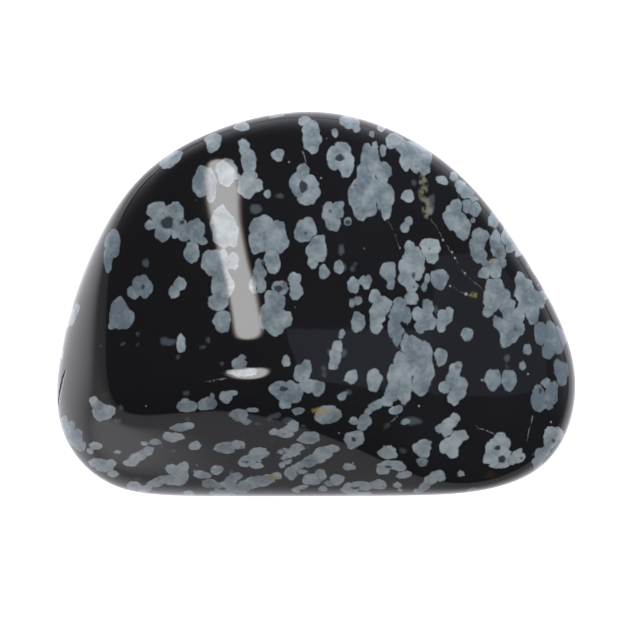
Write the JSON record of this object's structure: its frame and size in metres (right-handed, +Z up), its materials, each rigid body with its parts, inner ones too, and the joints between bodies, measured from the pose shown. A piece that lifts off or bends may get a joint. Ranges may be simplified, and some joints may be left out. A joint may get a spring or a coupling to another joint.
{
  "type": "tumbled snowflake obsidian stone",
  "caption": "Tumbled and polished lump of black volcanic glass with pale grey snowflake spots, rounded on every side, lying on its flattest side.",
  "frame": {"origin": "middle of the stone's footprint, on the surface that it lies on", "axes": "+X along the longest side, towards the blunt right end; +Y towards the back, away from the sloping front; +Z up"},
  "size_m": [0.032, 0.0236, 0.0154],
  "materials": {
    "snowflake_obsidian": "polished black glass with grey snowflake spots"
  },
  "bodies": {
    "root": {"stone": "snowflake_obsidian"}
  },
  "joints": []
}
